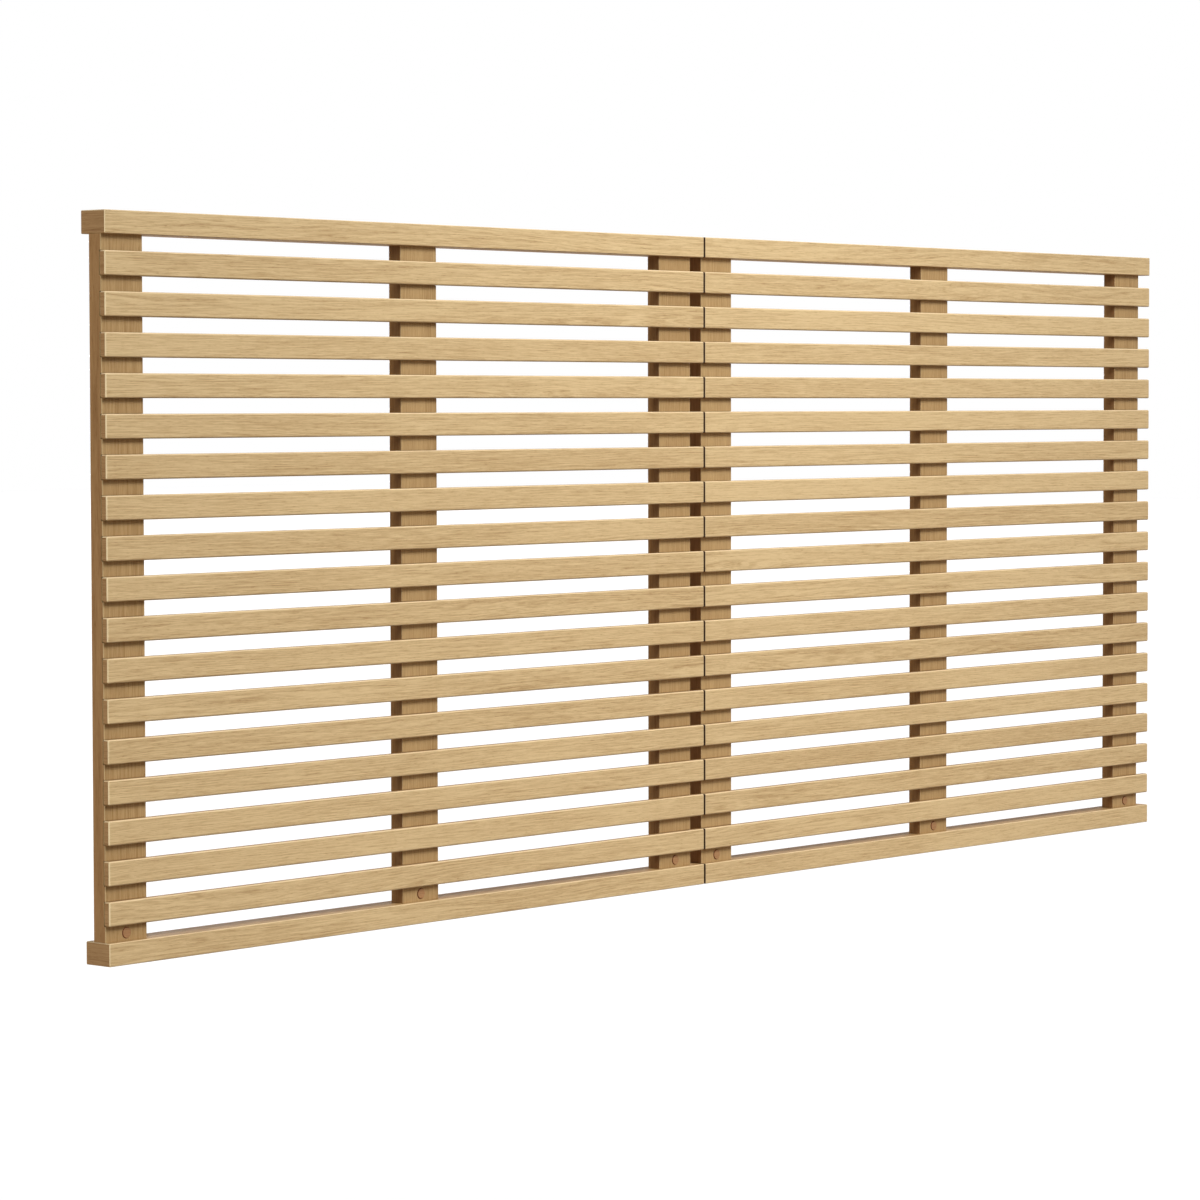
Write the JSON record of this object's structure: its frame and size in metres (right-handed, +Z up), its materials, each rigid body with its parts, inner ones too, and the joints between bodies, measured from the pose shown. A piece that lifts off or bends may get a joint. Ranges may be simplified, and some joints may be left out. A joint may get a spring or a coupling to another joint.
{
  "type": "slatted headboard",
  "caption": "Wall-hung oak headboard in two panels, each a frame of deep rails and posts with thin horizontal slats housed in the posts.",
  "frame": {"origin": "on the underside of the bottom rails, at the seam between the panels and mid depth", "axes": "+X along the headboard to the right as seen from the front, +Y from the front to the wall, +Z up"},
  "size_m": [2, 0.037, 0.8],
  "materials": {
    "oak_rail": "matt lacquered light oak, grain along the rail",
    "oak_slat": "matt lacquered light oak, grain along the slat",
    "oak_post": "matt lacquered light oak, grain up the post",
    "cover_plug": "matt lacquered reddish wood",
    "beech_dowel": "bare beech"
  },
  "bodies": {
    "root": {"left_panel_top_rail": "oak_rail", "left_panel_bottom_rail": "oak_rail", "left_panel_left_post": "oak_post", "left_panel_left_cover_plug": "cover_plug", "left_panel_middle_post": "oak_post", "left_panel_middle_cover_plug": "cover_plug", "left_panel_right_post": "oak_post", "left_panel_right_cover_plug": "cover_plug", "left_panel_slat_01": "oak_slat", "left_panel_slat_02": "oak_slat", "left_panel_slat_03": "oak_slat", "left_panel_slat_04": "oak_slat", "left_panel_slat_05": "oak_slat", "left_panel_slat_06": "oak_slat", "left_panel_slat_07": "oak_slat", "left_panel_slat_08": "oak_slat", "left_panel_slat_09": "oak_slat", "left_panel_slat_10": "oak_slat", "left_panel_slat_11": "oak_slat", "left_panel_slat_12": "oak_slat", "left_panel_slat_13": "oak_slat", "left_panel_slat_14": "oak_slat", "left_panel_slat_15": "oak_slat", "left_panel_slat_16": "oak_slat", "left_panel_slat_17": "oak_slat", "right_panel_top_rail": "oak_rail", "right_panel_bottom_rail": "oak_rail", "right_panel_left_post": "oak_post", "right_panel_left_cover_plug": "cover_plug", "right_panel_middle_post": "oak_post", "right_panel_middle_cover_plug": "cover_plug", "right_panel_right_post": "oak_post", "right_panel_right_cover_plug": "cover_plug", "right_panel_slat_01": "oak_slat", "right_panel_slat_02": "oak_slat", "right_panel_slat_03": "oak_slat", "right_panel_slat_04": "oak_slat", "right_panel_slat_05": "oak_slat", "right_panel_slat_06": "oak_slat", "right_panel_slat_07": "oak_slat", "right_panel_slat_08": "oak_slat", "right_panel_slat_09": "oak_slat", "right_panel_slat_10": "oak_slat", "right_panel_slat_11": "oak_slat", "right_panel_slat_12": "oak_slat", "right_panel_slat_13": "oak_slat", "right_panel_slat_14": "oak_slat", "right_panel_slat_15": "oak_slat", "right_panel_slat_16": "oak_slat", "right_panel_slat_17": "oak_slat", "top_joining_dowel": "beech_dowel", "bottom_joining_dowel": "beech_dowel"}
  },
  "joints": []
}
